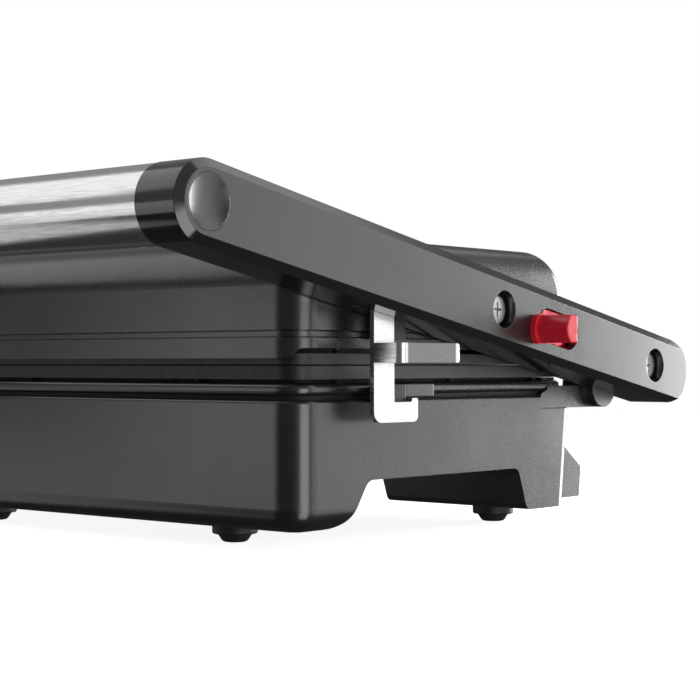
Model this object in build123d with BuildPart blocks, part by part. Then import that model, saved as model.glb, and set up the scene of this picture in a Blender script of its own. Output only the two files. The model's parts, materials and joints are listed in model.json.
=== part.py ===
from build123d import *
from math import atan2, cos, radians, sin
import os

# Contact grill (panini press) with a tubular front handle carried by two side arms.
# Frame: millimetres, +Z up, table at Z = 0, X = 0 on the symmetry plane, Y = 0 at the
# middle of the body's depth, front towards -Y, right-hand arm towards +X.

# ---------------- driving dimensions ----------------
body_width = 290
body_depth = 200
front_corner_radius = 13
rear_corner_radius = 7
wall = 2.5

# Heights of the layers of the body, from the table upwards.
belly_bottom = 8.2
arch_top = 28.8
shoulder_top = 63.7
lip_bottom = 65.7
lip_top = 70.9
lower_rim_bottom = 72.5
plate_seam = 78.6
upper_rim_top = 83.6
skirt_front_bottom = 81.4
skirt_side_bottom = 85.7
groove_bottom = 90.1
groove_top = 93.3
lid_top = 134

belly_edge_radius = 10
lid_front_edge_radius = 22
lid_side_edge_radius = 8
lip_inset = 0.6
neck_inset = 3
rim_inset = 2.5
opening_inset = 12
pan_inset = 13.5

# Rear feet moulded into the lower housing.
rear_foot_inner_x = 58
rear_foot_bottom = 8.4

# Rear wall of the lower housing: a straight lean from the shoulder in to the heel.
shoulder_rear_y = 107
heel_rear_y = 100.9

# Arms: a straight bar between the handle centre and the rear end.
handle_y = -175.4
handle_z = 139.2
arm_rear_y = 160.5
arm_rear_z = 75.5
arm_inner_x = 147
arm_outer_x = 170
arm_half_height = 16.4
arm_chamfer_height = 3.6
arm_chamfer_width = 2.2
arm_wall = 2.5
link_thickness = 3

# Handle tube.
tube_radius = 15.9
tube_wall = 1.5
tube_z = 139.5
cap_radius = 10.9

# Joint axes, all along X.
hinge_y = 128
hinge_z = 68
pivot_y = 12.5
pivot_z = 103.7
latch_y = -58
latch_z = 112
rear_screw_y = 144.7
rear_screw_z = 78.3

hinge_pin_radius = 3
pivot_screw_radius = 2.5
latch_pin_radius = 2
running_clearance = 0.05
knuckle_radius = 10.9
recess_radius = 8.5
recess_depth = 7

# Release lever and its slot, measured along the arm from the handle centre.
slot_centre_u = 235.4
slot_length = 34.5
slot_height = 15.9

# Latch hook.
hook_inner_x = 155
hook_thickness = 2.3

# Mains inlet in the rear wall.
inlet_x = -36
inlet_z = 44
inlet_radius = 5.5

# Rubber feet: centre, and the radii of the dome and of the flange above it.
front_foot_x = 84.5
front_foot_y = -74
rear_foot_x = 112
rear_foot_y = 84
foot_flange_radius = 10.2
foot_screw_bore = 2.2

rib_pitch = 9
rib_height = 5.6
element_radius = 3.25

# ---------------- derived values ----------------
arm_run = arm_rear_y - handle_y
arm_drop = handle_z - arm_rear_z
arm_slope = atan2(arm_drop, arm_run)
arm_length = (arm_run**2 + arm_drop**2) ** 0.5
half_width = body_width / 2
half_depth = body_depth / 2
hook_outer_x = hook_inner_x + hook_thickness
foot_spots = []
for foot_side in (-1, 1):
    foot_spots += [(foot_side * front_foot_x, front_foot_y), (foot_side * rear_foot_x, rear_foot_y)]


def arm_plane(x):
    """Side plane at x whose own x axis runs rearward along the arm from the handle."""
    along = (0, cos(arm_slope), -sin(arm_slope))
    return Plane(origin=(x, handle_y, handle_z), x_dir=along, z_dir=(1, 0, 0))


def on_arm(y, z):
    """Distance along the arm and height above its centre line of a point in the side plane."""
    run = y - handle_y
    rise = z - handle_z
    along = run * cos(arm_slope) - rise * sin(arm_slope)
    above = run * sin(arm_slope) + rise * cos(arm_slope)
    return along, above


pivot_on_arm = on_arm(pivot_y, pivot_z)
rear_screw_on_arm = on_arm(rear_screw_y, rear_screw_z)
hinge_on_arm = on_arm(hinge_y, hinge_z)
latch_on_arm = on_arm(latch_y, latch_z)


def rear_wall_y(z):
    """Outside of the lower housing's rear wall at height z."""
    lean = (shoulder_rear_y - heel_rear_y) / (shoulder_top - rear_foot_bottom)
    return heel_rear_y + lean * (z - rear_foot_bottom)


def body_plan(inset=0):
    """Plan of the body shrunk by inset: large front corners and tighter rear ones."""
    least_radius = 1.5
    with BuildSketch() as plan:
        Rectangle(body_width - 2 * inset, body_depth - 2 * inset)
        fillet(plan.vertices().group_by(Axis.Y)[0], max(front_corner_radius - inset, least_radius))
        fillet(plan.vertices().group_by(Axis.Y)[-1], max(rear_corner_radius - inset, least_radius))
    return plan.sketch


def body_slab(bottom, top, inset=0):
    """Slab with the body's plan between two heights."""
    with BuildPart() as slab:
        with BuildSketch(Plane.XY.offset(bottom)):
            add(body_plan(inset))
        extrude(amount=top - bottom)
    return slab.part


def ring_slab(bottom, top, outer_inset, inner_inset):
    """Frame-shaped slab between two heights and two insets of the body's plan."""
    with BuildPart() as ring:
        with BuildSketch(Plane.XY.offset(bottom)):
            add(body_plan(outer_inset))
            add(body_plan(inner_inset), mode=Mode.SUBTRACT)
        extrude(amount=top - bottom)
    return ring.part


def x_rod(x_from, x_to, y, z, radius):
    """Round rod along X."""
    with BuildPart() as rod:
        with BuildSketch(Plane.YZ.offset(x_from)):
            with Locations((y, z)):
                Circle(radius)
        extrude(amount=x_to - x_from)
    return rod.part


def block(x_from, x_to, y_from, y_to, z_from, z_to):
    """Plain box between two corners."""
    centre = ((x_from + x_to) / 2, (y_from + y_to) / 2, (z_from + z_to) / 2)
    with BuildPart() as box:
        with Locations(centre):
            Box(x_to - x_from, y_to - y_from, z_to - z_from)
    return box.part


def mirrored(shape):
    """The same shape on the other side of the symmetry plane."""
    return mirror(shape, about=Plane.YZ)


def save(builder, name):
    """Label a finished piece and write it."""
    builder.part.label = name
    export_step(builder.part, f"parts/{name}.step")


os.makedirs("parts", exist_ok=True)


# ---------------- hinge brackets on the base ----------------
bracket_inner_x = 132
bracket_front_y = 78.4
bracket_step_y = 84.4
bracket_seat_z = 57.4
bracket_front_top = 63.3
seam_width = 0.22
seam_depth = 1.4


def bracket_profile(grow=0):
    """Side outline of a hinge bracket's arm: low front step, flat top and level underside."""
    front_y = bracket_front_y - grow
    step_y = bracket_step_y - grow
    top_z = hinge_z + grow
    seat_z = bracket_seat_z - grow
    with BuildSketch() as profile:
        with BuildLine():
            low = Polyline(
                (hinge_y, hinge_z - knuckle_radius - grow), (front_y, seat_z),
                (front_y, bracket_front_top),
            )
            rise = Spline(low @ 1, (step_y - 3.1, 65.4), (step_y, 67.9), tangents=[(0, 1), (0.3, 1)])
            Polyline(rise @ 1, (step_y, top_z), (hinge_y, top_z), low @ 0)
        make_face()
    return profile.sketch


def hinge_bracket_form():
    """Right-hand bracket: seat in the housing corner, arm to the rear and the knuckle."""
    knuckle_outer_x = 146.5
    with BuildPart() as bracket:
        with BuildSketch(Plane.YZ.offset(bracket_inner_x)):
            add(bracket_profile())
        extrude(amount=half_width - bracket_inner_x)
        with BuildSketch(Plane.YZ.offset(bracket_inner_x)):
            with Locations((hinge_y, hinge_z)):
                Circle(knuckle_radius)
        extrude(amount=knuckle_outer_x - bracket_inner_x)
        # Inner tab with its screw hole, then the bore of the hinge pin.
        add(block(121, bracket_inner_x, 86, 97, bracket_seat_z, bracket_seat_z + 2.6))
        with BuildSketch(Plane.YZ.offset(bracket_inner_x - 2)):
            with Locations((hinge_y, hinge_z)):
                Circle(hinge_pin_radius)
        extrude(amount=20, mode=Mode.SUBTRACT)
        with Locations((126, 91, bracket_seat_z)):
            Cylinder(1.6, 10, mode=Mode.SUBTRACT)
    return bracket.part


def bracket_seam_form():
    """Shallow grown copy of the bracket's outline that leaves a fine seam around it."""
    with BuildPart() as seam:
        with BuildSketch(Plane.YZ.offset(half_width - seam_depth)):
            add(bracket_profile(seam_width))
        extrude(amount=seam_depth + 1)
    return seam.part


bracket_seam = bracket_seam_form()
hinge_bracket = hinge_bracket_form()

# ---------------- lower housing ----------------
def housing_form(inset):
    """Solid form of the lower housing, or its cavity when inset by the wall."""
    belly_rear_y = -40
    slope_foot_y = -67.4
    slope_head_y = -53.5
    foot_outer_x = half_width - inset
    foot_inner_x = rear_foot_inner_x + inset
    with BuildPart() as belly:
        with BuildSketch(Plane.XY.offset(belly_bottom + inset)) as plan:
            with Locations((0, (belly_rear_y - half_depth + inset) / 2)):
                Rectangle(body_width - 2 * inset, belly_rear_y + half_depth - inset)
            fillet(plan.vertices().group_by(Axis.Y)[0], front_corner_radius - inset)
        extrude(amount=arch_top)
        lowest = belly.faces().sort_by(Axis.Z)[0].edges()
        rear_edge = lowest.sort_by(Axis.Y)[-1]
        fillet([edge for edge in lowest if edge != rear_edge], belly_edge_radius - inset)
        with BuildSketch(Plane.YZ):
            with BuildLine():
                under = FilletPolyline(
                    (-95, belly_bottom + inset),
                    (slope_foot_y - inset, belly_bottom + inset),
                    (slope_head_y - inset, arch_top + inset),
                    (0, arch_top + inset),
                    radius=[16, 6],
                )
                Polyline(under @ 1, (0, 0), (-95, 0), under @ 0)
            make_face()
        extrude(amount=body_width, both=True, mode=Mode.SUBTRACT)
    with BuildPart() as foot:
        with BuildSketch(Plane.YZ.offset(foot_inner_x)):
            with BuildLine():
                leg = FilletPolyline(
                    (52 + inset, arch_top + inset),
                    (59 + inset, arch_top + inset),
                    (66.4 + inset, rear_foot_bottom + inset),
                    (shoulder_rear_y - inset, rear_foot_bottom + inset),
                    (shoulder_rear_y - inset, arch_top + 12),
                    radius=[5, 4, 0.8],
                )
                Polyline(leg @ 1, (52 + inset, arch_top + 12), leg @ 0)
            make_face()
        extrude(amount=foot_outer_x - foot_inner_x)
    with BuildPart() as form:
        with BuildSketch(Plane.XY.offset(arch_top + inset)) as plan:
            with Locations((0, (shoulder_rear_y - half_depth) / 2)):
                Rectangle(body_width - 2 * inset, shoulder_rear_y + half_depth - 2 * inset)
            fillet(plan.vertices().group_by(Axis.Y)[0], front_corner_radius - inset)
        extrude(amount=shoulder_top - arch_top)
        add(belly.part)
        add(foot.part)
        add(mirrored(foot.part))
        # The rear wall leans in towards the feet.
        low = rear_foot_bottom - 2
        high = shoulder_top + wall + 2
        with BuildSketch(Plane.YZ):
            Polygon(
                (rear_wall_y(high) - inset, high), (rear_wall_y(low) - inset, low),
                (shoulder_rear_y + 9, low), (shoulder_rear_y + 9, high), align=None,
            )
        extrude(amount=body_width, both=True, mode=Mode.SUBTRACT)
        corner_edges = form.edges().filter_by(
            lambda edge: edge.center().Y > heel_rear_y - inset - 2
            and abs(edge.center().X) > half_width - inset - 0.1
            and edge.length > 4
            and abs(edge.tangent_at(0.5).Z) > 0.9
        )
        fillet(corner_edges, max(rear_corner_radius - inset, 1.5))
    return form.part


housing_outer = housing_form(0)
housing_cavity = housing_form(wall)

with BuildPart() as lower_housing:
    add(housing_outer)
    fillet(lower_housing.faces().sort_by(Axis.Z)[-1].edges(), 1.4)
    add(housing_cavity, mode=Mode.SUBTRACT)
    # Seat cut into each rear upper corner for the hinge bracket.
    for cutter in (hinge_bracket, bracket_seam):
        add(cutter, mode=Mode.SUBTRACT)
        add(mirrored(cutter), mode=Mode.SUBTRACT)
    # Screw holes of the rubber feet and the mains inlet in the rear wall.
    for x, y in foot_spots:
        with Locations((x, y, belly_bottom)):
            Cylinder(1.6, 12, mode=Mode.SUBTRACT)
    with BuildSketch(Plane.XZ.offset(-shoulder_rear_y)):
        with Locations((inlet_x, inlet_z)):
            Circle(inlet_radius)
    extrude(amount=8, mode=Mode.SUBTRACT)
save(lower_housing, "lower_housing")

# Upper trim of the base: rounded lip, ledge behind it and a raised stop at each rear corner.
with BuildPart() as lower_trim:
    add(ring_slab(lip_bottom, lip_top, lip_inset, opening_inset))
    rim_faces = lower_trim.faces().sort_by(Axis.Z)
    long_edges = [rim_faces[0].outer_wire().edges(), rim_faces[-1].outer_wire().edges()]
    fillet(long_edges[0] + long_edges[1], 2.2)
    ledge_bottom = shoulder_top - wall
    ledge_rear_y = rear_wall_y(ledge_bottom) - wall - 0.1
    ledge_half_width = bracket_inner_x - 0.1
    add(block(-ledge_half_width, ledge_half_width, 96.5, ledge_rear_y, ledge_bottom, shoulder_top))
    add(block(-ledge_half_width, ledge_half_width, 96.5, 97.5, ledge_bottom, lip_bottom + 1))
    with BuildPart(mode=Mode.PRIVATE) as corner_stops:
        add(ring_slab(lip_top, lower_rim_bottom - 0.2, neck_inset, opening_inset))
        add(block(-half_width, half_width, 84, half_depth, lip_top, lower_rim_bottom), mode=Mode.INTERSECT)
        add(block(-125, 125, 84, half_depth, lip_top, lower_rim_bottom), mode=Mode.SUBTRACT)
    add(corner_stops.part)
    for cutter in (hinge_bracket, bracket_seam):
        add(cutter, mode=Mode.SUBTRACT)
        add(mirrored(cutter), mode=Mode.SUBTRACT)
save(lower_trim, "lower_trim")

# Black gasket in the shadow groove between the housing and the trim.
with BuildPart() as housing_gasket:
    add(ring_slab(shoulder_top - wall, lip_bottom, neck_inset, opening_inset))
    behind = block(-half_width, half_width, 96.4, half_depth, shoulder_top - wall, lip_bottom)
    add(behind, mode=Mode.SUBTRACT)
    for cutter in (hinge_bracket, bracket_seam):
        add(cutter, mode=Mode.SUBTRACT)
        add(mirrored(cutter), mode=Mode.SUBTRACT)
save(housing_gasket, "housing_gasket")

# Black gasket that stands on the trim under the lower plate's rim, clear of the corner stops.
with BuildPart() as plate_gasket:
    add(ring_slab(lip_top, lower_rim_bottom - 0.2, 7.2, opening_inset))
    for side in (-1, 1):
        corner = block(124.8, half_width, 83.8, half_depth, lip_top, lower_rim_bottom)
        add(corner if side > 0 else mirrored(corner), mode=Mode.SUBTRACT)
save(plate_gasket, "plate_gasket")


# ---------------- grill plates ----------------
def grill_plate(name, face_z, rim_z, up):
    """Cast ribbed plate. Its cooking side faces the seam at face_z; up is +1 or -1."""
    floor_depth = 6.4
    pan_depth = 5
    cooking_side = face_z - up * 0.05
    with BuildPart() as plate:
        seam_edge = cooking_side - up * 0.2
        add(body_slab(min(seam_edge, rim_z), max(seam_edge, rim_z), rim_inset))
        add(body_slab(min(cooking_side, rim_z), max(cooking_side, rim_z), rim_inset + 0.8))
        pan_low = min(rim_z, rim_z - up * pan_depth)
        add(body_slab(pan_low, pan_low + pan_depth, pan_inset))
        floor_z = cooking_side - up * floor_depth
        dish = body_slab(min(floor_z, cooking_side), max(floor_z, cooking_side), rim_inset + 12)
        add(dish, mode=Mode.SUBTRACT)
        rib_area_width = body_width - 2 * (rim_inset + 22)
        rib_length = body_depth - 2 * (rim_inset + 20)
        rib_count = int(rib_area_width // rib_pitch)
        rib_plane = Plane(origin=(0, 0, floor_z), z_dir=(0, 0, up))
        with BuildSketch(rib_plane):
            with GridLocations(rib_pitch, 0, rib_count, 1):
                SlotOverall(rib_length, 4.6, rotation=90)
        extrude(amount=rib_height, taper=10)
    save(plate, name)


grill_plate("lower_grill_plate", plate_seam, lower_rim_bottom, 1)
grill_plate("upper_grill_plate", plate_seam, upper_rim_top, -1)


# Tapered nubs cast on each plate's rim, which keep it off the trim.
nub_root_radius = 2.1
nub_spots = []
for nub_x in (-120, -29.9, 83.2):
    nub_spots += [(nub_x, -95.3), (nub_x, 95.3)]
for nub_y in (-69.7, 10.4, 77.5):
    nub_spots += [(-140.3, nub_y), (140.3, nub_y)]

with BuildPart() as lower_plate_pads:
    with BuildSketch(Plane.XY.offset(lower_rim_bottom)):
        with Locations(*nub_spots):
            Circle(nub_root_radius)
    extrude(amount=lip_top - lower_rim_bottom, taper=30)
save(lower_plate_pads, "lower_plate_pads")


# ---------------- heating parts ----------------
def heating_element(name, z):
    """Sheathed element bent into a long W, with both tails at the rear."""
    reach_x = 96
    inner_x = 34
    front_y = -58
    rear_y = 62
    turn_y = 20
    with BuildPart() as element:
        with BuildLine():
            FilletPolyline(
                (-inner_x, rear_y + 14, z),
                (-inner_x, turn_y - 60, z),
                (-reach_x, turn_y - 60, z),
                (-reach_x, rear_y - 4, z),
                (-reach_x - 24, rear_y - 4, z),
                (-reach_x - 24, front_y - 12, z),
                (reach_x + 24, front_y - 12, z),
                (reach_x + 24, rear_y - 4, z),
                (reach_x, rear_y - 4, z),
                (reach_x, turn_y - 60, z),
                (inner_x, turn_y - 60, z),
                (inner_x, rear_y + 14, z),
                radius=11.5,
            )
        with BuildSketch(Plane(origin=(-inner_x, rear_y + 14, z), z_dir=(0, -1, 0))):
            Circle(element_radius)
        sweep()
    save(element, name)


lower_pan_bottom = lower_rim_bottom - 5
upper_pan_top = upper_rim_top + 5
heating_element("lower_heating_element", lower_pan_bottom - element_radius - 0.1)
heating_element("upper_heating_element", upper_pan_top + element_radius + 0.1)


def heat_reflector(name, element_side_z, up):
    """Thin dished sheet behind the element; up points from the sheet to the plate."""
    sheet = 0.8
    depth = 8
    far_z = element_side_z - up * depth
    with BuildPart() as pan:
        add(body_slab(min(far_z, element_side_z), max(far_z, element_side_z), pan_inset + 1.5))
        floor_z = far_z + up * sheet
        low = min(floor_z, element_side_z)
        high = max(floor_z, element_side_z)
        add(body_slab(low, high, pan_inset + 1.5 + sheet), mode=Mode.SUBTRACT)
    save(pan, name)


heat_reflector("lower_heat_reflector", lower_pan_bottom - 0.2, 1)
heat_reflector("upper_heat_reflector", upper_pan_top + 0.2, -1)

with BuildPart() as thermostat:
    with BuildSketch(Plane.XY.offset(44)):
        with Locations((0, 40)):
            Circle(11)
    extrude(amount=9)
    with BuildSketch(Plane.XY.offset(53)):
        with Locations((0, 40)):
            SlotOverall(34, 9)
    extrude(amount=1.2)
    with Locations((-13, 40, 52), (13, 40, 52)):
        Cylinder(1.6, 12)
save(thermostat, "thermostat")

with BuildPart() as terminal_block:
    add(block(-56, -20, 68, 84, arch_top + wall, 43))
    with Locations((-50, 76, 43), (-38, 76, 43), (-26, 76, 43)):
        Cylinder(2.6, 6, mode=Mode.SUBTRACT)
save(terminal_block, "terminal_block")

# Stepped grommet of the mains inlet: outer flange, neck, inner flange and through hole.
inlet_wall_y = rear_wall_y(inlet_z)
inner_flange_y = inlet_wall_y - wall - 0.85

with BuildPart() as cord_gland:
    with BuildSketch(Plane.XZ.offset(-inlet_wall_y - 5)):
        with Locations((inlet_x, inlet_z)):
            Circle(7.2)
    extrude(amount=6)
    add(housing_outer, mode=Mode.SUBTRACT)
    with BuildSketch(Plane.XZ.offset(-inlet_wall_y - 1)):
        with Locations((inlet_x, inlet_z)):
            Circle(inlet_radius)
    extrude(amount=inlet_wall_y + 1 - inner_flange_y)
    with BuildSketch(Plane.XZ.offset(-inner_flange_y)):
        with Locations((inlet_x, inlet_z)):
            Circle(7)
    extrude(amount=3)
    with BuildSketch(Plane.XZ.offset(-inlet_wall_y - 6)):
        with Locations((inlet_x, inlet_z)):
            Circle(3.4)
    extrude(amount=15, mode=Mode.SUBTRACT)
save(cord_gland, "cord_gland")

# ---------------- feet ----------------
with BuildPart() as rubber_feet:
    for x, y in foot_spots:
        with BuildSketch(Plane(origin=(x, y, 0), x_dir=(1, 0, 0), z_dir=(0, -1, 0))):
            with BuildLine():
                top = belly_bottom if y < 0 else rear_foot_bottom
                dome = FilletPolyline(
                    (foot_screw_bore, 0), (5.4, 0), (7.9, 3.7), (foot_flange_radius, 3.7),
                    (foot_flange_radius, top), (foot_screw_bore, top), radius=[2.4, 0.8, 0.9, 0.6],
                )
                Line(dome @ 1, dome @ 0)
            make_face()
        revolve(axis=Axis((x, y, 0), (0, 0, 1)))
save(rubber_feet, "rubber_feet")

with BuildPart() as foot_screws:
    for x, y in foot_spots:
        with BuildSketch(Plane.XY.offset(1.4)):
            with Locations((x, y)):
                Circle(2.1)
        extrude(amount=2)
        with BuildSketch(Plane.XY.offset(3.4)):
            with Locations((x, y)):
                Circle(1.5)
        extrude(amount=9)
save(foot_screws, "foot_screws")

# Wedge-shaped stand-offs behind the rear feet.
with BuildPart() as rear_bumpers:
    for side in (-1, 1):
        inner_x = min(side * 120, side * 142)
        with BuildSketch(Plane.YZ.offset(inner_x)):
            with BuildLine():
                FilletPolyline(
                    (99, 41), (118.6, 27), (117, 12), (99, 12), radius=[0.5, 1.4, 1.4, 0.5], close=True,
                )
            make_face()
        extrude(amount=22)
    add(housing_outer, mode=Mode.SUBTRACT)
save(rear_bumpers, "rear_bumpers")


# ---------------- hinge brackets and pins ----------------
with BuildPart() as hinge_bracket_right:
    add(hinge_bracket)
save(hinge_bracket_right, "hinge_bracket_right")

with BuildPart() as hinge_bracket_left:
    add(mirrored(hinge_bracket))
save(hinge_bracket_left, "hinge_bracket_left")

with BuildPart() as hinge_pins:
    pin = x_rod(131, 149.8, hinge_y, hinge_z, hinge_pin_radius)
    head = x_rod(129.4, 131.9, hinge_y, hinge_z, hinge_pin_radius + 1.6)
    for shape in (pin, head):
        add(shape)
        add(mirrored(shape))
save(hinge_pins, "hinge_pins")

# ---------------- latch catch on the base lip ----------------
catch_outer_x = hook_inner_x - 0.3

with BuildPart() as latch_catch:
    with BuildSketch(Plane.XY.offset(62.8)):
        with BuildLine():
            FilletPolyline(
                (half_width + 0.05, -50), (catch_outer_x, -50),
                (catch_outer_x, -40), (half_width + 0.05, -40), radius=[3.5, 0.8, 0.4, 0.4], close=True,
            )
        make_face()
    extrude(amount=7.4)
    add(block(half_width - lip_inset, half_width + 0.1, -49.5, -40.5, 67.6, 69))
save(latch_catch, "latch_catch")

with BuildPart() as catch_cover:
    add(block(half_width + 0.05, catch_outer_x - 0.4, -39.9, -19, 64.6, 70.5))
    fillet(catch_cover.edges().filter_by(Axis.Z).group_by(Axis.X)[-1], 1.2)
    fillet(catch_cover.faces().sort_by(Axis.X)[-1].edges().filter_by(Axis.Y), 0.6)
    add(block(half_width - lip_inset, half_width + 0.1, -38, -21, 67.6, 69))
save(catch_cover, "catch_cover")


# ---------------- lid ----------------
def lid_form(inset):
    """Domed block of the lid above the groove, or its cavity when inset by the wall.

    Each level is a rectangle with large front corners and tighter rear ones. Its front and
    rear draw in along a round arc, and its sides along a flatter elliptical one.
    """
    large = lid_front_edge_radius - inset
    small = lid_side_edge_radius - inset
    spring_line = lid_top - lid_front_edge_radius
    steps = 8
    with BuildPart() as form:
        with BuildSketch(Plane.XY.offset(groove_top - inset)):
            add(lid_plan(inset, inset))
        extrude(amount=spring_line - groove_top + inset)
        for step in range(steps + 1):
            angle = radians(90 * step / steps)
            side_inset = inset + small * (1 - cos(angle))
            end_inset = inset + large * (1 - cos(angle))
            with BuildSketch(Plane.XY.offset(spring_line + large * sin(angle))):
                add(lid_plan(side_inset, end_inset))
        loft()
    return form.part


def lid_plan(side_inset, end_inset):
    """One level of the lid's dome."""
    with BuildSketch() as plan:
        Rectangle(body_width - 2 * side_inset, body_depth - 2 * end_inset)
        fillet(plan.vertices().group_by(Axis.Y)[0], front_corner_radius)
        fillet(plan.vertices().group_by(Axis.Y)[-1], rear_corner_radius)
    return plan.sketch


with BuildPart() as lid_housing:
    add(lid_form(0))
    add(lid_form(wall), mode=Mode.SUBTRACT)
    # Pivot screw holes through both side walls, and two lamp holes in the top.
    pivot_hole = x_rod(-half_width - 1, half_width + 1, pivot_y, pivot_z, pivot_screw_radius + 0.5)
    add(pivot_hole, mode=Mode.SUBTRACT)
    with BuildSketch(Plane.XY.offset(lid_top - 5)):
        with Locations((-12, -66), (12, -66)):
            SlotOverall(9, 4.4)
    extrude(amount=10, mode=Mode.SUBTRACT)
save(lid_housing, "lid_housing")

# Lower skirt of the lid: deep at the front and rear, stepped up along both sides.
step_start_y = -99.6
groove_slit = 0.45
step_middle_z = (skirt_front_bottom + skirt_side_bottom) / 2
rear_apron_y = 92

with BuildPart() as lid_skirt:
    add(ring_slab(skirt_front_bottom, groove_bottom, 0, 2))
    with BuildSketch(Plane.YZ):
        with BuildLine():
            step = Spline(
                (step_start_y, skirt_front_bottom - 0.01), (step_start_y + 2.9, step_middle_z),
                (step_start_y + 5.8, skirt_side_bottom), tangents=[(1, 0), (1, 0)],
            )
            Line(step @ 1, (rear_apron_y, skirt_side_bottom))
            Line((rear_apron_y, skirt_side_bottom), (rear_apron_y, shoulder_top))
            Line((rear_apron_y, shoulder_top), (step_start_y, shoulder_top))
            Line((step_start_y, shoulder_top), step @ 0)
        make_face()
    extrude(amount=body_width, both=True, mode=Mode.SUBTRACT)
    add(ring_slab(groove_bottom - 1.6, groove_bottom, 1, opening_inset))
    add(ring_slab(groove_bottom, groove_top, 3.2, 5))
    add(ring_slab(groove_bottom + groove_slit, groove_top - groove_slit, 1.1, 4))
save(lid_skirt, "lid_skirt")

with BuildPart() as upper_plate_pads:
    with BuildSketch(Plane.XY.offset(upper_rim_top)):
        with Locations(*nub_spots):
            Circle(nub_root_radius)
    extrude(amount=1.6, taper=30)
    with BuildSketch(Plane.XY.offset(upper_rim_top)):
        with Locations(*nub_spots):
            Circle(1.2)
    extrude(amount=groove_bottom - 1.6 - upper_rim_top)
save(upper_plate_pads, "upper_plate_pads")

with BuildPart() as lid_lamps:
    with BuildSketch(Plane.XY.offset(lid_top - wall - 3)):
        with Locations((-12, -66), (12, -66)):
            SlotOverall(8.8, 4.2)
    extrude(amount=wall + 3.6)
    fillet(lid_lamps.faces().group_by(Axis.Z)[-1].edges(), 0.4)
save(lid_lamps, "lid_lamps")


def lid_bracket_form():
    """Pressed steel strip inside the lid's side wall that takes the pivot screw."""
    plate_outer = half_width - wall
    plate_inner = plate_outer - 3
    with BuildPart() as bracket:
        add(block(plate_inner, plate_outer, pivot_y - 26, pivot_y + 26, groove_top + 0.6, pivot_z + 8))
        fillet(bracket.edges().filter_by(Axis.X).group_by(Axis.Z)[-1], 6)
        add(block(130.8, plate_outer, pivot_y - 26, pivot_y + 26, groove_top, groove_top + 2))
        bore_radius = pivot_screw_radius + running_clearance
        bore = x_rod(plate_inner - 1, plate_outer + 1, pivot_y, pivot_z, bore_radius)
        add(bore, mode=Mode.SUBTRACT)
    return bracket.part


lid_bracket = lid_bracket_form()
with BuildPart() as lid_brackets:
    add(lid_bracket)
    add(mirrored(lid_bracket))
save(lid_brackets, "lid_brackets")


# ---------------- arms ----------------
def arm_outline(shrink):
    """Side outline of an arm in the current sketch: a bar with two round ends."""
    with Locations((arm_length / 2, 0)):
        SlotCenterToCenter(arm_length, 2 * (arm_half_height - shrink))


def arm_form(has_controls):
    """Right-hand arm: chamfered bar, hollow from inside, with its screw recesses.

    Only the arm that has the controls gets the lever slot and the latch's opening.
    """
    outer_skin_x = arm_outer_x - arm_wall - 1.5
    with BuildPart() as arm:
        # The bar runs on past its rear end so that only its front and long edges are chamfered.
        with BuildSketch(arm_plane(arm_inner_x)):
            Circle(arm_half_height)
            with Locations((arm_length / 2 + 15, 0)):
                Rectangle(arm_length + 30, 2 * arm_half_height)
        extrude(amount=arm_outer_x - arm_inner_x)
        outer_edges = arm.faces().sort_by(Axis.X)[-1].edges()
        rear_edge = outer_edges.sort_by(Axis.Y)[-1]
        long_edges = [edge for edge in outer_edges if edge != rear_edge]
        outer_face = arm.faces().sort_by(Axis.X)[-1]
        chamfer(long_edges, arm_chamfer_height, arm_chamfer_width, reference=outer_face)
        with BuildSketch(arm_plane(arm_inner_x)):
            arm_outline(0)
        extrude(amount=arm_outer_x - arm_inner_x, mode=Mode.INTERSECT)
        # Hollow behind the outer skin; the front end stays solid behind the handle.
        with BuildSketch(arm_plane(arm_inner_x)):
            arm_outline(arm_wall)
            Circle(arm_half_height + 4, mode=Mode.SUBTRACT)
            for along, above in (pivot_on_arm, rear_screw_on_arm):
                with Locations((along, above)):
                    Circle(recess_radius + 1.8, mode=Mode.SUBTRACT)
        extrude(amount=outer_skin_x - arm_inner_x, mode=Mode.SUBTRACT)
        # Rebate that takes the inner link plate, and the notch for its hinge lug.
        with BuildSketch(arm_plane(arm_inner_x)):
            arm_outline(arm_wall)
        extrude(amount=link_thickness, mode=Mode.SUBTRACT)
        add(x_rod(arm_inner_x, 150.2, hinge_y, hinge_z, knuckle_radius + 0.4), mode=Mode.SUBTRACT)
        # Screw recesses in the outer face.
        with BuildSketch(arm_plane(arm_outer_x - recess_depth)):
            with Locations(pivot_on_arm, rear_screw_on_arm):
                Circle(recess_radius)
        extrude(amount=recess_depth + 1, mode=Mode.SUBTRACT)
        # Shallow seat of the end cap and the groove under the front end.
        with BuildSketch(arm_plane(arm_outer_x - 2)):
            Circle(cap_radius + 0.1)
        extrude(amount=3, mode=Mode.SUBTRACT)
        with BuildSketch(arm_plane(arm_inner_x - 1)):
            with Locations((9, -arm_half_height)):
                Rectangle(0.5, 1)
        extrude(amount=21, mode=Mode.SUBTRACT)
        for y, z in ((pivot_y, pivot_z), (rear_screw_y, rear_screw_z), (handle_y, handle_z)):
            add(x_rod(arm_inner_x - 1, arm_outer_x - 2, y, z, pivot_screw_radius), mode=Mode.SUBTRACT)
        if has_controls:
            with BuildSketch(arm_plane(outer_skin_x - 1)):
                with Locations((slot_centre_u, 0)):
                    SlotOverall(slot_length, slot_height)
            extrude(amount=6, mode=Mode.SUBTRACT)
            opening = block(hook_inner_x - 0.5, hook_outer_x + 0.5, -77, -50, 90, 112)
            add(opening, mode=Mode.SUBTRACT)
            pin_end_x = outer_skin_x + 1.5
            pin_hole = x_rod(arm_inner_x - 1, pin_end_x, latch_y, latch_z, latch_pin_radius)
            add(pin_hole, mode=Mode.SUBTRACT)
    return arm.part


with BuildPart() as arm_right:
    add(arm_form(has_controls=True))
save(arm_right, "arm_right")

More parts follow.
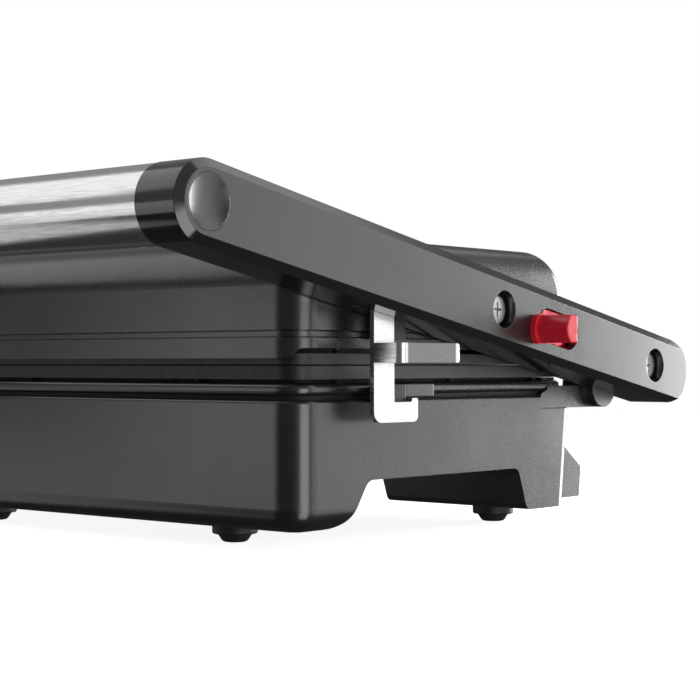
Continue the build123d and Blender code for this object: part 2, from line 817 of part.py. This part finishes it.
with BuildPart() as arm_left:
    add(mirrored(arm_form(has_controls=False)))
save(arm_left, "arm_left")


def link_form(has_controls):
    """Flat plate closing the inside of an arm, with the hinge lug hanging below it."""
    with BuildPart() as link:
        with BuildSketch(arm_plane(arm_inner_x)):
            arm_outline(arm_wall + 0.1)
            with Locations(hinge_on_arm):
                Circle(knuckle_radius)
            with Locations(hinge_on_arm):
                Circle(hinge_pin_radius + running_clearance, mode=Mode.SUBTRACT)
            with Locations(pivot_on_arm, rear_screw_on_arm, (0, 0)):
                Circle(pivot_screw_radius, mode=Mode.SUBTRACT)
            if has_controls:
                with Locations(latch_on_arm):
                    Circle(latch_pin_radius, mode=Mode.SUBTRACT)
        extrude(amount=link_thickness)
    return link.part


with BuildPart() as arm_link_right:
    add(link_form(has_controls=True))
save(arm_link_right, "arm_link_right")

with BuildPart() as arm_link_left:
    add(mirrored(link_form(has_controls=False)))
save(arm_link_left, "arm_link_left")


def pan_screw(shaft_end_x, head_x, y, z, shaft_radius, head_radius):
    """Pan-head cross-recess screw along X, its head facing outward at head_x."""
    head_height = 3
    with BuildPart() as screw:
        add(x_rod(shaft_end_x, head_x, y, z, shaft_radius))
        with BuildSketch(Plane.YZ.offset(head_x)):
            with Locations((y, z)):
                Circle(head_radius)
        extrude(amount=head_height)
        fillet(screw.faces().sort_by(Axis.X)[-1].edges(), 1.6)
        with BuildSketch(Plane.YZ.offset(head_x + head_height)):
            with Locations((y, z)):
                Rectangle(6.4, 1.1)
                Rectangle(1.1, 6.4)
        extrude(amount=-2, taper=12, mode=Mode.SUBTRACT)
    return screw.part


screw_floor_x = arm_outer_x - recess_depth

with BuildPart() as pivot_screws:
    screw = pan_screw(129, screw_floor_x, pivot_y, pivot_z, pivot_screw_radius, 7.4)
    add(screw)
    add(mirrored(screw))
save(pivot_screws, "pivot_screws")

with BuildPart() as link_screws:
    screw = pan_screw(arm_inner_x, screw_floor_x, rear_screw_y, rear_screw_z, pivot_screw_radius, 7.4)
    add(screw)
    add(mirrored(screw))
save(link_screws, "link_screws")

# Washers that space the lid's side walls from the arms.
with BuildPart() as pivot_washers:
    with BuildSketch(Plane.YZ.offset(half_width + 0.1)):
        with Locations((pivot_y, pivot_z)):
            Circle(7)
            Circle(pivot_screw_radius, mode=Mode.SUBTRACT)
    extrude(amount=arm_inner_x - half_width - 0.1)
    mirror(about=Plane.YZ)
save(pivot_washers, "pivot_washers")

# ---------------- handle ----------------
with BuildPart() as handle_tube:
    with BuildSketch(Plane.YZ.offset(-arm_inner_x)):
        with Locations((handle_y, tube_z)):
            Circle(tube_radius)
            Circle(tube_radius - tube_wall, mode=Mode.SUBTRACT)
    extrude(amount=2 * arm_inner_x)
    # Small vent slot pressed through the underside near each end.
    slot_x = arm_inner_x - 13
    slot_z = tube_z - tube_radius
    with Locations((slot_x, handle_y, slot_z), (-slot_x, handle_y, slot_z)):
        Box(6, 1.6, 4, mode=Mode.SUBTRACT)
save(handle_tube, "handle_tube")

plug_length = 12

with BuildPart() as handle_plugs:
    with BuildSketch(Plane.YZ.offset(arm_inner_x - plug_length)):
        with Locations((handle_y, tube_z)):
            Circle(tube_radius - tube_wall)
        with Locations((handle_y, handle_z)):
            Circle(pivot_screw_radius, mode=Mode.SUBTRACT)
    extrude(amount=plug_length)
    mirror(about=Plane.YZ)
save(handle_plugs, "handle_plugs")

with BuildPart() as handle_screws:
    screw = x_rod(arm_inner_x - plug_length + 1, arm_outer_x - 5, handle_y, handle_z, pivot_screw_radius)
    add(screw)
    add(mirrored(screw))
save(handle_screws, "handle_screws")

# Dished caps that cover the handle screws.
with BuildPart() as handle_caps:
    with BuildSketch(Plane.YZ.offset(arm_outer_x - 2)):
        with Locations((handle_y, handle_z)):
            Circle(cap_radius)
    extrude(amount=2)
    dish_radius = 33.9
    with Locations((arm_outer_x - 1.7 + dish_radius, handle_y, handle_z)):
        Sphere(dish_radius, mode=Mode.SUBTRACT)
    mirror(about=Plane.YZ)
save(handle_caps, "handle_caps")

# ---------------- latch ----------------
with BuildPart() as latch_pin:
    add(x_rod(arm_inner_x + 0.2, arm_outer_x - arm_wall, latch_y, latch_z, latch_pin_radius))
save(latch_pin, "latch_pin")

# Black guide block beside the latch, hanging through the arm's underside.
with BuildPart() as latch_guide:
    add(block(arm_inner_x + 0.2, hook_inner_x - 0.6, -49, -39, 89.7, 105))
    fillet(latch_guide.edges().filter_by(Axis.Z).group_by(Axis.X)[-1], 1.5)
    with BuildSketch(arm_plane(arm_inner_x)):
        arm_outline(0)
    extrude(amount=20, mode=Mode.SUBTRACT)
save(latch_guide, "latch_guide")

tab_outer_x = 172.5
tab_bottom = 79.6
tab_top = 88

with BuildPart() as latch_hook:
    with BuildSketch(Plane.YZ.offset(hook_inner_x)):
        with BuildLine():
            stem_front = -64.8
            stem_rear = -51.3
            edge = FilletPolyline(
                (stem_rear, latch_z), (stem_rear, 62.6), (-39, 62.6), (-39, 64.3), (-35, 64.3), (-35, 54),
                (stem_front, 54), (stem_front, latch_z),
                radius=[1, 0.4, 0.9, 0.9, 2.5, 5],
            )
            Line(edge @ 1, edge @ 0)
        make_face()
        with Locations((latch_y, latch_z)):
            Circle(7)
            Circle(latch_pin_radius + running_clearance, mode=Mode.SUBTRACT)
    extrude(amount=hook_thickness)
    # Finger tab: folded out from the stem's front edge, then rearward.
    with BuildSketch(Plane.XY.offset(tab_bottom)):
        with BuildLine():
            tab_y = stem_front + hook_thickness
            fold = FilletPolyline(
                (hook_inner_x, stem_front), (tab_outer_x, stem_front), (tab_outer_x, -25),
                radius=3.6,
            )
            Line(fold @ 1, (tab_outer_x - hook_thickness, -25))
            back = FilletPolyline(
                (tab_outer_x - hook_thickness, -25), (tab_outer_x - hook_thickness, tab_y),
                (hook_inner_x, tab_y), radius=3.6 - hook_thickness,
            )
            Line(back @ 1, fold @ 0)
        make_face()
    extrude(amount=tab_top - tab_bottom)
    fillet(latch_hook.faces().filter_by(Axis.Y).sort_by(Axis.X)[-1].edges().filter_by(Axis.X), 1.2)
save(latch_hook, "latch_hook")

# ---------------- release lever ----------------
knob_end_x = 190
knob_front_y = 33.4
knob_rear_y = 41.9
knob_bottom = 88.7
knob_top = 101.5


def d_section(front_y, rear_y, bottom, top):
    """D-shaped outline in side view: bowed front, flat rear."""
    middle = (bottom + top) / 2
    bow_y = front_y + 3.2
    with BuildSketch() as outline:
        with BuildLine():
            ThreePointArc((bow_y, bottom), (front_y, middle), (bow_y, top))
            Line((bow_y, top), (rear_y, top))
            Line((rear_y, top), (rear_y, bottom))
            Line((rear_y, bottom), (bow_y, bottom))
        make_face()
    return outline.sketch


with BuildPart() as release_lever:
    with BuildSketch(Plane.YZ.offset(arm_outer_x + 0.15)):
        add(d_section(knob_front_y, knob_rear_y, knob_bottom, knob_top))
    extrude(amount=knob_end_x - arm_outer_x - 0.15)
    fillet(release_lever.faces().sort_by(Axis.X)[-1].edges(), 0.8)
    with BuildSketch(Plane.YZ.offset(arm_outer_x + 0.15)):
        add(d_section(knob_front_y - 1.4, knob_rear_y + 3, knob_bottom - 0.3, knob_top + 0.3))
    extrude(amount=3)
    with BuildSketch(arm_plane(arm_outer_x - 8)):
        with Locations((slot_centre_u - 4, 0)):
            SlotOverall(slot_length - 9, slot_height - 1)
    extrude(amount=8.15)
    add(block(arm_outer_x - 1.2, arm_outer_x + 1, knob_rear_y + 3, 80, 80, 110), mode=Mode.SUBTRACT)
    with BuildSketch(arm_plane(arm_outer_x - 10)):
        with Locations((slot_centre_u, 0)):
            Rectangle(slot_length + 4, slot_height + 4)
    extrude(amount=2.5)
save(release_lever, "release_lever")

with BuildPart() as lever_rod:
    with BuildSketch(arm_plane(arm_outer_x - 12)):
        with Locations((slot_centre_u + 32, 6.5)):
            Rectangle(72, 5)
    extrude(amount=1.9)
save(lever_rod, "lever_rod")
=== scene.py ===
import json
import math

import bpy
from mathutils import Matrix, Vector

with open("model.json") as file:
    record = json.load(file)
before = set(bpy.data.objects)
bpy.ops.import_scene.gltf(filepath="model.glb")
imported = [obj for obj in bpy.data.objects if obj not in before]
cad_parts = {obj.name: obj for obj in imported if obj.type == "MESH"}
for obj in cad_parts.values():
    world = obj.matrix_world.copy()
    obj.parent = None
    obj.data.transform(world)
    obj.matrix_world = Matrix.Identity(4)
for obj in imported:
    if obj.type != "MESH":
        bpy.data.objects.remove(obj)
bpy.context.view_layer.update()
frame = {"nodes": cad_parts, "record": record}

nodes = frame["nodes"]
scene = bpy.context.scene

MM = 0.001

# Raw noise stays near the middle of 0..1, so most ramps run over this span.
NOISE_SPAN = (0.3, 0.7)

# Colours are linear RGB.
LACQUER_BLACK = (0.014, 0.014, 0.0145)
FLAKE_GREY = (0.03, 0.03, 0.031)
DUST_GREY = (0.3, 0.3, 0.28)
PLASTIC_BLACK = (0.006, 0.006, 0.006)
SEAL_BLACK = (0.008, 0.008, 0.008)
RUBBER_BLACK = (0.012, 0.012, 0.012)
RUBBER_WEAR = (0.05, 0.048, 0.045)
TUBE_METAL = (0.80, 0.80, 0.81)
LATCH_METAL = (0.84, 0.84, 0.85)
METAL_STAIN = (0.50, 0.47, 0.43)
# Painted shade colour for the latch's finger tab, standing in for its dark reflection.
TAB_PAINTED_SHADE_GREY = (0.13, 0.13, 0.135)
BRACKET_METAL = (0.55, 0.55, 0.56)
REFLECTOR_METAL = (0.70, 0.70, 0.71)
ZINC = (0.66, 0.66, 0.65)
ZINC_STAIN = (0.50, 0.48, 0.42)
COATING_BLACK = (0.014, 0.014, 0.015)
COATING_FLECK = (0.16, 0.16, 0.16)
COATING_STAIN = (0.030, 0.026, 0.022)
NICKEL = (0.30, 0.27, 0.25)
HEAT_BROWN = (0.24, 0.16, 0.10)
HEAT_BLUE = (0.14, 0.15, 0.22)
RESIN_BROWN = (0.055, 0.025, 0.014)
RESIN_SPECK = (0.11, 0.05, 0.028)
LEVER_RED = (0.90, 0.020, 0.045)
LEVER_DEEP_RED = (0.78, 0.012, 0.030)
LENS_RED = (0.55, 0.015, 0.01)
LENS_GREEN = (0.02, 0.34, 0.05)
LENS_SHADE = (0.01, 0.01, 0.01)
PAPER = (0.85, 0.85, 0.85)
PAPER_SHADE = (0.80, 0.80, 0.80)
WHITE = (1, 1, 1, 1)  # with alpha


# ---------------- node helpers ----------------
def map_range(tree, value, span, out, interpolation="LINEAR"):
    """Maps the span of a value to the span out and holds the ends."""
    made = tree.nodes.new("ShaderNodeMapRange")
    made.interpolation_type = interpolation
    for socket, number in zip(("From Min", "From Max", "To Min", "To Max"), (*span, *out)):
        made.inputs[socket].default_value = number
    tree.links.new(value, made.inputs["Value"])
    return made.outputs["Result"]


class Finish:
    """A Principled material built up step by step; lengths in its patterns are in metres."""

    def __init__(self, name, colour, roughness, metallic=0.0, specular=0.5):
        self.material = bpy.data.materials.new(name)
        self.material.use_nodes = True
        self.tree = self.material.node_tree
        self.shader = self.tree.nodes["Principled BSDF"]
        self.set("Base Color", (*colour, 1))
        self.set("Roughness", roughness)
        self.set("Metallic", metallic)
        self.set("Specular IOR Level", specular)
        self.place = self.node("ShaderNodeTexCoord").outputs["Object"]
        self.normal = None

    def set(self, socket, value):
        """Sets one input of the shader."""
        self.shader.inputs[socket].default_value = value

    def node(self, kind, **settings):
        made = self.tree.nodes.new(kind)
        for key, value in settings.items():
            setattr(made, key, value)
        return made

    def link(self, source, target):
        self.tree.links.new(source, target)

    def axes(self, vector):
        """The X, Y and Z outputs of a vector."""
        split = self.node("ShaderNodeSeparateXYZ")
        self.link(vector, split.inputs["Vector"])
        return split.outputs

    def noise(self, size, detail, stretch=None, roughness=0.55):
        """Noise whose blobs are about size metres across.

        Stretch scales the pattern along each axis: below 1 draws it out, above 1 squeezes it.
        """
        made = self.node("ShaderNodeTexNoise")
        made.inputs["Scale"].default_value = 1 / size
        made.inputs["Detail"].default_value = detail
        made.inputs["Roughness"].default_value = roughness
        if stretch is None:
            self.link(self.place, made.inputs["Vector"])
        else:
            mapping = self.node("ShaderNodeMapping")
            mapping.inputs["Scale"].default_value = stretch
            self.link(self.place, mapping.inputs["Vector"])
            self.link(mapping.outputs["Vector"], made.inputs["Vector"])
        return made.outputs["Fac"]

    def cells(self, size):
        """The outputs of a cell pattern: Distance from the cell's centre and Color of the cell."""
        made = self.node("ShaderNodeTexVoronoi")
        made.inputs["Scale"].default_value = 1 / size
        self.link(self.place, made.inputs["Vector"])
        return made.outputs

    def ramp(self, value, span, out=(0.0, 1.0)):
        """Maps the span of a value to another one and holds the ends."""
        return map_range(self.tree, value, span, out)

    def math(self, operation, first, second):
        made = self.node("ShaderNodeMath", operation=operation)
        for socket, value in zip(made.inputs, (first, second)):
            if isinstance(value, (int, float)):
                socket.default_value = value
            else:
                self.link(value, socket)
        return made.outputs["Value"]

    def tint(self, amount, colour):
        """Mixes a colour over what the base colour is so far."""
        mix = self.node("ShaderNodeMix", data_type="RGBA")
        base = self.shader.inputs["Base Color"]
        if base.links:
            self.link(base.links[0].from_socket, mix.inputs["A"])
        else:
            mix.inputs["A"].default_value = base.default_value
        mix.inputs["B"].default_value = (*colour, 1)
        self.link(amount, mix.inputs["Factor"])
        self.link(mix.outputs["Result"], base)

    def roughness(self, value):
        self.link(value, self.shader.inputs["Roughness"])

    def soft_edges(self, radius):
        """Hard edges catch light as if they were rounded by this radius."""
        bevel = self.node("ShaderNodeBevel", samples=4)
        bevel.inputs["Radius"].default_value = radius
        self.normal = bevel.outputs["Normal"]
        self.link(self.normal, self.shader.inputs["Normal"])

    def bump(self, height, depth, strength):
        """Adds relief of this depth on top of the normal so far."""
        made = self.node("ShaderNodeBump")
        made.inputs["Distance"].default_value = depth
        made.inputs["Strength"].default_value = strength
        self.link(height, made.inputs["Height"])
        if self.normal is not None:
            self.link(self.normal, made.inputs["Normal"])
        self.normal = made.outputs["Normal"]
        self.link(self.normal, self.shader.inputs["Normal"])

    def upward(self):
        """1 where the surface looks straight up, 0 where it stands upright."""
        return self.axes(self.node("ShaderNodeNewGeometry").outputs["Normal"])["Z"]

    def sideways(self):
        """1 where the piece's surface looks along its X axis, 0 where it looks across it."""
        across = self.axes(self.node("ShaderNodeTexCoord").outputs["Normal"])["X"]
        return self.math("MULTIPLY", across, across)

    def inside(self, box, blend):
        """1 inside a box on the piece, given as axis, low and high, with soft sides."""
        place = self.axes(self.place)
        amount = None
        for axis, low, high in box:
            rising = self.ramp(place[axis], (low, low + blend))
            falling = self.ramp(place[axis], (high - blend, high), (1.0, 0.0))
            both = self.math("MULTIPLY", rising, falling)
            amount = self.math("MULTIPLY", amount, both) if amount else both
        return amount


# ---------------- the finishes ----------------
def lacquer(name, roughness, edge, face_roughness=None):
    """Black satin lacquer with a faint orange peel, fine flake, a little dust and uneven gloss.

    Faces that look along X may have a roughness of their own.
    """
    made = Finish(name, LACQUER_BLACK, roughness, specular=1.0)
    made.soft_edges(edge)
    uneven = made.math(
        "ADD",
        made.ramp(made.noise(45 * MM, detail=4), NOISE_SPAN, (-0.03, 0.035)),
        made.ramp(made.noise(0.7 * MM, detail=2), NOISE_SPAN, (-0.02, 0.02)),
    )
    level = roughness
    if face_roughness is not None:
        level = made.ramp(made.sideways(), (0.85, 0.96), (roughness, face_roughness))
    made.roughness(made.math("ADD", uneven, level))
    flakes = made.cells(0.45 * MM)["Distance"]
    made.tint(made.ramp(flakes, (0.05, 0.30), (0.18, 0.0)), FLAKE_GREY)
    made.tint(made.ramp(made.upward(), (0.75, 1.0), (0.0, 0.02)), DUST_GREY)
    made.bump(made.noise(8 * MM, detail=1), depth=0.003 * MM, strength=0.25)
    return made.material


def moulded(name, colour, roughness, grain):
    """Moulded plastic or rubber with a spark-eroded grain and slightly shiny high spots."""
    made = Finish(name, colour, roughness)
    made.soft_edges(0.25 * MM)
    grains = made.noise(grain, detail=3)
    made.roughness(made.ramp(grains, (0.35, 0.7), (roughness + 0.08, roughness - 0.08)))
    worn = tuple(c * 2 + 0.01 for c in colour)
    made.tint(made.ramp(made.noise(12 * MM, detail=4), (0.45, 0.75), (0.0, 0.12)), worn)
    made.bump(grains, depth=0.02 * MM, strength=0.6)
    return made.material


def brushed(name, colour, roughness, stretch, size, depth, edge, painted_shade_box=()):
    """Brushed metal; stretch is small along the brush lines.

    The metal is painted dark grey inside the box given by the last argument, as axis, low and high
    on the piece; this is painted shade for the dark reflection that face shows.
    """
    made = Finish(name, colour, roughness, metallic=1.0)
    made.soft_edges(edge)
    lines = made.noise(size, detail=6, stretch=stretch, roughness=0.7)
    bands = made.noise(size * 7, detail=3, stretch=stretch, roughness=0.6)
    made.roughness(made.ramp(lines, (0.25, 0.75), (roughness - 0.08, roughness + 0.12)))
    made.tint(made.ramp(lines, (0.45, 0.8), (0.0, 0.5)), tuple(c * 0.62 for c in colour))
    made.tint(made.ramp(made.noise(30 * MM, detail=4), (0.55, 0.8), (0.0, 0.12)), METAL_STAIN)
    # Painted shade: dark grey mixed into the metal inside the box, for a dark reflection.
    if painted_shade_box:
        painted_shade = made.inside(painted_shade_box, blend=1 * MM)
        made.tint(made.math("MULTIPLY", painted_shade, 0.92), TAB_PAINTED_SHADE_GREY)
    made.bump(bands, depth * 4, strength=0.7)
    made.bump(lines, depth, strength=0.7)
    return made.material


def sheet_steel(name, colour, roughness, spangle):
    """Plated sheet: crystals of slightly different grey and gloss, with rolling marks."""
    made = Finish(name, colour, roughness, metallic=1.0)
    made.soft_edges(0.2 * MM)
    split = made.node("ShaderNodeSeparateColor")
    made.link(made.cells(spangle)["Color"], split.inputs["Color"])
    shade, gloss = split.outputs["Red"], split.outputs["Green"]
    made.tint(made.ramp(shade, (0.0, 1.0), (0.0, 0.45)), tuple(c * 0.7 for c in colour))
    made.roughness(made.ramp(gloss, (0.0, 1.0), (roughness - 0.08, roughness + 0.1)))
    rolling = made.noise(0.6 * MM, detail=3, stretch=(12, 1, 12))
    made.bump(rolling, depth=0.01 * MM, strength=0.5)
    return made.material


def cast_nonstick(name):
    """Non-stick coating over a cast plate: pebbled, dark, with pale flecks."""
    made = Finish(name, COATING_BLACK, roughness=0.42)
    made.soft_edges(0.4 * MM)
    pebble = made.noise(1.1 * MM, detail=3)
    made.roughness(made.ramp(pebble, NOISE_SPAN, (0.36, 0.52)))
    flecks = made.cells(1.6 * MM)["Distance"]
    made.tint(made.ramp(flecks, (0.06, 0.14), (0.5, 0.0)), COATING_FLECK)
    made.tint(made.ramp(made.noise(30 * MM, detail=4), (0.5, 0.75), (0.0, 0.35)), COATING_STAIN)
    made.bump(pebble, depth=0.05 * MM, strength=0.6)
    return made.material


def heated_sheath(name):
    """Nickel sheath of a heating rod, tinted brown and blue by the heat."""
    made = Finish(name, NICKEL, roughness=0.38, metallic=1.0)
    made.tint(made.ramp(made.noise(20 * MM, detail=3), (0.4, 0.65)), HEAT_BROWN)
    made.tint(made.ramp(made.noise(34 * MM, detail=3), (0.55, 0.75), (0.0, 0.7)), HEAT_BLUE)
    scale = made.noise(0.7 * MM, detail=3)
    made.roughness(made.ramp(scale, NOISE_SPAN, (0.3, 0.5)))
    made.bump(scale, depth=0.02 * MM, strength=0.5)
    return made.material


def rubber(name):
    """Matt black rubber with grey wear in places."""
    made = Finish(name, RUBBER_BLACK, roughness=0.6)
    grains = made.noise(0.5 * MM, detail=3)
    made.roughness(made.ramp(grains, NOISE_SPAN, (0.45, 0.68)))
    made.tint(made.ramp(made.noise(6 * MM, detail=4), (0.5, 0.8), (0.0, 0.3)), RUBBER_WEAR)
    made.bump(grains, depth=0.03 * MM, strength=0.6)
    return made.material


def plated_screw(name):
    """Zinc plating with fine marks and a slightly uneven passivation tint."""
    made = Finish(name, ZINC, roughness=0.3, metallic=1.0)
    made.soft_edges(0.15 * MM)
    marks = made.noise(0.35 * MM, detail=4)
    made.roughness(made.ramp(marks, NOISE_SPAN, (0.24, 0.42)))
    made.tint(made.ramp(made.noise(3 * MM, detail=3), (0.45, 0.75), (0.0, 0.4)), ZINC_STAIN)
    made.bump(marks, depth=0.012 * MM, strength=0.6)
    return made.material


def phenolic(name):
    """Brown pressed resin, as used for heat-proof blocks."""
    made = Finish(name, RESIN_BROWN, roughness=0.45)
    made.soft_edges(0.2 * MM)
    made.tint(made.ramp(made.noise(0.8 * MM, detail=4), (0.5, 0.75), (0.0, 0.6)), RESIN_SPECK)
    made.roughness(made.ramp(made.noise(2 * MM, detail=3), NOISE_SPAN, (0.35, 0.55)))
    made.bump(made.noise(0.5 * MM, detail=3), depth=0.02 * MM, strength=0.5)
    return made.material


def gloss_red(name):
    """Gloss red plastic: deeper in places, with fine polishing marks."""
    made = Finish(name, LEVER_RED, roughness=0.25)
    made.soft_edges(0.4 * MM)
    made.tint(made.ramp(made.noise(6 * MM, detail=3), (0.4, 0.7), (0.0, 0.35)), LEVER_DEEP_RED)
    marks = made.noise(0.5 * MM, detail=3, stretch=(1, 0.2, 1))
    made.roughness(made.ramp(marks, NOISE_SPAN, (0.17, 0.3)))
    made.bump(marks, depth=0.008 * MM, strength=0.5)
    made.set("Coat Weight", 0.4)
    made.set("Coat Roughness", 0.12)
    made.set("Subsurface Weight", 0.08)
    made.set("Subsurface Radius", (1.2 * MM, 0.3 * MM, 0.3 * MM))
    return made.material


def two_lenses(name):
    """Indicator lenses: red at -X and green at +X, with a moulded pattern inside."""
    made = Finish(name, LENS_RED, roughness=0.16)
    half_seam = 0.5 * MM
    made.tint(made.ramp(made.axes(made.place)["X"], (-half_seam, half_seam)), LENS_GREEN)
    facets = made.cells(0.9 * MM)["Distance"]
    made.tint(made.ramp(facets, (0.2, 0.7), (0.0, 0.35)), LENS_SHADE)
    made.roughness(made.ramp(made.noise(1 * MM, detail=2), NOISE_SPAN, (0.12, 0.22)))
    made.bump(facets, depth=0.04 * MM, strength=0.5)
    made.set("Coat Weight", 0.6)
    made.set("Coat Roughness", 0.06)
    return made.material


# Where the latch's finger tab looks outward, away from the arm; painted shade darkens the metal
# there, for the dark reflection that face shows.
FINGER_TAB_PAINTED_SHADE_BOX = (("X", 168.5 * MM, 175 * MM), ("Y", -61.5 * MM, -27 * MM))

finishes = {
    "housing": lacquer("housing_lacquer", roughness=0.26, edge=0.3 * MM),
    "arm": lacquer("arm_lacquer", roughness=0.12, edge=0.4 * MM, face_roughness=0.29),
    "black_plastic": moulded("black_plastic", PLASTIC_BLACK, roughness=0.3, grain=0.4 * MM),
    "brushed_tube": brushed(
        "brushed_tube", TUBE_METAL, roughness=0.16, stretch=(0.06, 1, 1),
        size=0.7 * MM, depth=0.012 * MM, edge=0.3 * MM,
    ),
    # The latch's finger tab gets painted shade, a dark grey for its dark reflection.
    "brushed_latch": brushed(
        "brushed_latch", LATCH_METAL, roughness=0.22, stretch=(0.05, 0.05, 1),
        size=0.5 * MM, depth=0.01 * MM, edge=0.2 * MM, painted_shade_box=FINGER_TAB_PAINTED_SHADE_BOX,
    ),
    "lever_red": gloss_red("gloss_red"),
    "nonstick": cast_nonstick("cast_nonstick"),
    "foot_rubber": rubber("foot_rubber"),
    "seal": moulded("seal_rubber", SEAL_BLACK, roughness=0.7, grain=0.6 * MM),
    "zinc_screw": plated_screw("zinc_screw"),
    "bracket_steel": sheet_steel("plated_steel", BRACKET_METAL, 0.35, spangle=4 * MM),
    "element_sheath": heated_sheath("element_sheath"),
    "reflector": sheet_steel("aluminised_sheet", REFLECTOR_METAL, 0.30, spangle=9 * MM),
    "phenolic": phenolic("phenolic"),
    "lamp_lens": two_lenses("lamp_lens"),
}
for part in frame["record"]["subparts"]:
    mesh = nodes[part["node"]].data
    mesh.materials.clear()
    mesh.materials.append(finishes[part["material_slot"]])


# ---------------- floor, light and camera ----------------
FLOOR_RADIUS = 1.7
FLOOR_CORNERS = 96
FLOOR_GLOW = 0.88  # lifts the paper to the white of the backdrop


def floor():
    """A round sheet of pale paper that neither mirrors in the part nor throws light on it."""
    mesh = bpy.data.meshes.new("floor")
    rim = []
    for corner in range(FLOOR_CORNERS):
        angle = math.tau * corner / FLOOR_CORNERS
        rim.append((FLOOR_RADIUS * math.cos(angle), FLOOR_RADIUS * math.sin(angle), 0))
    mesh.from_pydata(rim, [], [tuple(range(FLOOR_CORNERS))])
    made = bpy.data.objects.new("floor", mesh)
    scene.collection.objects.link(made)
    look = Finish("floor_paper", PAPER, roughness=0.9, specular=0.1)
    look.tint(look.ramp(look.noise(0.8, detail=2), NOISE_SPAN, (0.0, 0.1)), PAPER_SHADE)
    look.set("Emission Color", WHITE)
    look.set("Emission Strength", FLOOR_GLOW)
    mesh.materials.append(look.material)
    made.visible_glossy = False
    made.visible_diffuse = False
    made.visible_shadow = False


def card(name, azimuth, distance, width, low, high, radiance, tilt=0):
    """A soft rectangular light that spans the heights low to high.

    It stands at azimuth degrees from +X towards +Y and faces the upright axis through the
    origin, turned down by tilt degrees. Its energy follows from how bright its face should be.
    """
    light = bpy.data.lights.new(name, "AREA")
    light.shape = "RECTANGLE"
    light.size, light.size_y = width, high - low
    light.energy = radiance * math.pi * width * (high - low)
    made = bpy.data.objects.new(name, light)
    angle = math.radians(azimuth)
    made.location = (distance * math.cos(angle), distance * math.sin(angle), (low + high) / 2)
    made.rotation_euler = (math.radians(90 - tilt), 0, angle + math.pi / 2)
    made.visible_camera = False
    scene.collection.objects.link(made)


DARK_DIRECTION = (0.14, -0.99, 0.0)
DARK_SPAN = (0.70, 0.92)  # cosines of the angle from that direction
ROOM_STRENGTHS = (0.28, 0.12)  # around, and in the dark direction
HORIZON_SPAN = (-0.25, 0.02)  # heights of a unit direction
HORIZON_SHARES = (0.12, 1.0)  # share of the room's light below and above the horizon


def studio():
    """A white backdrop, and a dim room that is darker in front and below the horizon.

    The camera sees the backdrop; the part is lit by the room.
    """
    world = bpy.data.worlds.new("studio")
    scene.world = world
    world.use_nodes = True
    tree = world.node_tree
    direction = tree.nodes.new("ShaderNodeTexCoord").outputs["Generated"]
    facing = tree.nodes.new("ShaderNodeVectorMath")
    facing.operation = "DOT_PRODUCT"
    facing.inputs[1].default_value = Vector(DARK_DIRECTION).normalized()
    tree.links.new(direction, facing.inputs[0])
    around = map_range(tree, facing.outputs["Value"], DARK_SPAN, ROOM_STRENGTHS, "SMOOTHSTEP")
    split = tree.nodes.new("ShaderNodeSeparateXYZ")
    tree.links.new(direction, split.inputs["Vector"])
    below = map_range(tree, split.outputs["Z"], HORIZON_SPAN, HORIZON_SHARES, "SMOOTHSTEP")
    strength = tree.nodes.new("ShaderNodeMath")
    strength.operation = "MULTIPLY"
    tree.links.new(around, strength.inputs[0])
    tree.links.new(below, strength.inputs[1])

    room = tree.nodes["Background"]
    backdrop = tree.nodes.new("ShaderNodeBackground")
    for background in (room, backdrop):
        background.inputs["Color"].default_value = WHITE
    tree.links.new(strength.outputs["Value"], room.inputs["Strength"])
    mix = tree.nodes.new("ShaderNodeMixShader")
    light_path = tree.nodes.new("ShaderNodeLightPath")
    tree.links.new(light_path.outputs["Is Camera Ray"], mix.inputs[0])
    tree.links.new(room.outputs["Background"], mix.inputs[1])
    tree.links.new(backdrop.outputs["Background"], mix.inputs[2])
    tree.links.new(mix.outputs["Shader"], tree.nodes["World Output"].inputs["Surface"])


floor()
studio()
#    name, azimuth, distance, width, low, high, radiance
card("right_card", 346, 0.72, 0.34, -0.5, 0.13, 2.6)
card("side_card", 30, 0.72, 0.50, -0.25, 0.7, 1.0)
card("rear_card", 70, 0.85, 0.38, -0.1, 0.32, 10.5)
card("front_card", 242, 0.75, 0.30, -0.1, 0.17, 0.85)
card("table_card", 208, 0.75, 0.6, -0.5, 0.02, 0.5)
card("upper_left_card", 205, 1.3, 1.2, 0.55, 1.75, 0.8, tilt=42)
card("top_card", 90, 0.3, 1.2, 1.3, 2.5, 0.55, tilt=90)
card("upper_right_card", 50, 0.9, 1.0, 0.75, 1.5, 1.1, tilt=35)

CAMERA_PLACE = (0.6218, -0.6263, 0.0795)
CAMERA_PITCH, CAMERA_HEADING = 90.43, 40.4  # degrees; a pitch of 90 is level
SENSOR_WIDTH, LENS = 36, 88.7  # mm
NEAR_CLIP = 0.01

camera = bpy.data.objects.new("camera", bpy.data.cameras.new("camera"))
camera.data.sensor_width = SENSOR_WIDTH
camera.data.lens = LENS
camera.data.clip_start = NEAR_CLIP
camera.location = CAMERA_PLACE
camera.rotation_euler = (math.radians(CAMERA_PITCH), 0, math.radians(CAMERA_HEADING))
scene.collection.objects.link(camera)
scene.camera = camera
scene.view_settings.view_transform = "Standard"
